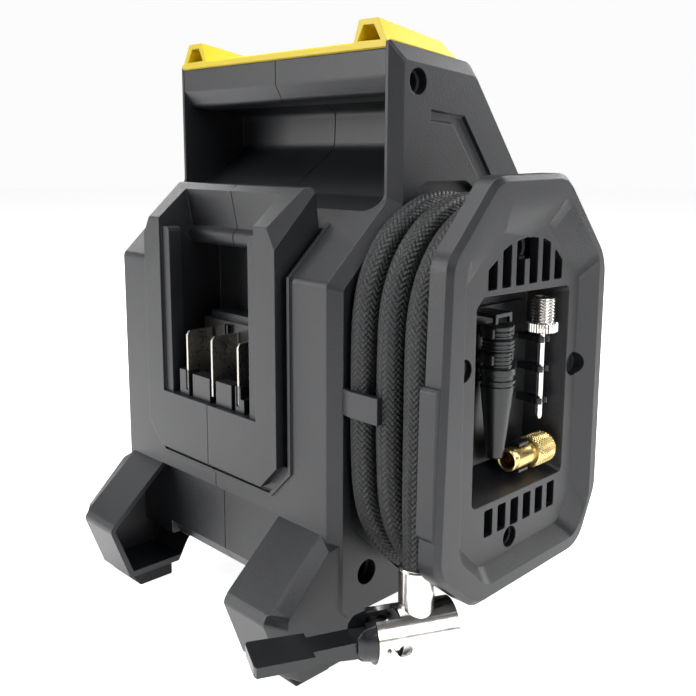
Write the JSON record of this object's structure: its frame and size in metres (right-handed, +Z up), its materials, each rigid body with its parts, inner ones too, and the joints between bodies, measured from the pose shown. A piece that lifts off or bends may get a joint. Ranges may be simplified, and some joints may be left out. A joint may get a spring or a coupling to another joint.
{
  "type": "cordless tyre inflator",
  "caption": "Upright cordless tyre inflator with a clip-on battery dock, handle recess, side hose reel with stored nozzles and a lever chuck on a braided hose.",
  "frame": {"origin": "centre of the footprint of the housing and reel, on the plane the rubber feet stand on", "axes": "+X towards the hose reel, +Y towards the control panel (the battery dock faces -Y), +Z up"},
  "size_m": [0.152, 0.1487, 0.195],
  "materials": {
    "black_plastic": "fine moulded grain, satin",
    "yellow_plastic": "smooth moulded",
    "dark_plastic": "smooth moulded",
    "foot_rubber": "matt",
    "seal_rubber": "matt",
    "tinned_contact": "tin plated",
    "braided_hose": "woven braid over rubber",
    "nickel_plate": "bright plated",
    "brass": "bright, knurled",
    "bright_steel": "plain",
    "motor_iron": "varnished",
    "grey_plastic": "plain",
    "cast_aluminium": "as cast",
    "tube_rubber": "smooth",
    "circuit_board": "solder resist",
    "clear_window": "polished",
    "light_window": "frosted",
    "display_glass": "dark display",
    "screw_steel": "black zinc",
    "button_rubber": "soft satin",
    "power_rubber": "soft satin"
  },
  "bodies": {
    "base": {"housing_left": "black_plastic", "housing_right": "black_plastic", "top_cover": "yellow_plastic", "terminal_block": "dark_plastic", "terminal_blades": "tinned_contact", "rubber_feet": "foot_rubber", "hose_reel": "black_plastic", "accessory_tray": "dark_plastic", "hose_coil": "braided_hose", "hose_tail": "braided_hose", "hose_ferrule": "nickel_plate", "chuck_barrel": "nickel_plate", "chuck_cap": "dark_plastic", "chuck_pin": "nickel_plate", "chuck_seal": "seal_rubber", "outlet_elbow": "dark_plastic", "motor_can": "bright_steel", "gearbox_plate": "grey_plastic", "cylinder": "cast_aluminium", "cylinder_head": "cast_aluminium", "air_tube": "tube_rubber", "main_board": "circuit_board", "control_panel": "black_plastic", "display_lens": "clear_window", "display_module": "display_glass", "panel_board": "circuit_board", "work_light": "light_window", "light_board": "circuit_board", "housing_screws": "screw_steel", "reel_screws": "screw_steel"},
    "motor": {"motor_rotor": "motor_iron", "motor_pinion": "bright_steel", "cooling_fan": "grey_plastic"},
    "crank": {"crank_gear": "bright_steel"},
    "rod": {"connecting_rod": "cast_aluminium", "wrist_pin": "bright_steel"},
    "piston": {"piston": "cast_aluminium", "piston_ring": "seal_rubber"},
    "lever": {"chuck_lever": "dark_plastic"},
    "plunger": {"chuck_plunger": "bright_steel"},
    "needle": {"ball_needle": "nickel_plate"},
    "adapter": {"presta_adapter": "brass"},
    "nozzle": {"tapered_nozzle": "dark_plastic"},
    "power": {"power_button": "power_rubber"},
    "minus": {"minus_button": "button_rubber"},
    "plus": {"plus_button": "button_rubber"},
    "mode": {"mode_button": "button_rubber"}
  },
  "joints": [
    {"name": "motor_spin", "type": "hinge", "parent": "base", "child": "motor", "pos_m": [-0.01835, -0.00885, 0.038], "axis": [0, 1, 0], "continuous": true},
    {"name": "crank_spin", "type": "hinge", "parent": "base", "child": "crank", "pos_m": [-0.01835, 0.02515, 0.058], "axis": [0, 1, 0], "continuous": true},
    {"name": "rod_pivot", "type": "hinge", "parent": "crank", "child": "rod", "pos_m": [-0.01835, 0.03165, 0.064], "axis": [0, 1, 0], "continuous": true},
    {"name": "piston_slide", "type": "slide", "parent": "base", "child": "piston", "axis": [0, 0, 1], "range_m": [-0.012, 0]},
    {"name": "lever_swing", "type": "hinge", "parent": "base", "child": "lever", "pos_m": [0.05943, -0.04571, 0.0221], "axis": [-0.8949, 0.4462, 0], "range_deg": [0, 85]},
    {"name": "plunger_slide", "type": "slide", "parent": "base", "child": "plunger", "axis": [0.4462, 0.8949, 0], "range_m": [0, 0.001]},
    {"name": "needle_out", "type": "slide", "parent": "base", "child": "needle", "axis": [1, 0, 0], "range_m": [0, 0.03]},
    {"name": "adapter_out", "type": "slide", "parent": "base", "child": "adapter", "axis": [1, 0, 0], "range_m": [0, 0.03]},
    {"name": "nozzle_out", "type": "slide", "parent": "base", "child": "nozzle", "axis": [1, 0, 0], "range_m": [0, 0.03]},
    {"name": "power_press", "type": "slide", "parent": "base", "child": "power", "axis": [0, -0.7758, -0.6309], "range_m": [0, 0.0009], "stiffness_N_per_m": 400},
    {"name": "minus_press", "type": "slide", "parent": "base", "child": "minus", "axis": [0, -0.7758, -0.6309], "range_m": [0, 0.0009], "stiffness_N_per_m": 400},
    {"name": "plus_press", "type": "slide", "parent": "base", "child": "plus", "axis": [0, -0.7758, -0.6309], "range_m": [0, 0.0009], "stiffness_N_per_m": 400},
    {"name": "mode_press", "type": "slide", "parent": "base", "child": "mode", "axis": [0, -0.7758, -0.6309], "range_m": [0, 0.0009], "stiffness_N_per_m": 400}
  ],
  "couplings": [
    {"joint": "crank_spin", "follows": "motor_spin", "ratio": -0.25},
    {"joint": "rod_pivot", "follows": "motor_spin", "ratio": 0.25},
    {"joint": "plunger_slide", "follows": "lever_swing", "m_per_rad": 0.000673}
  ]
}
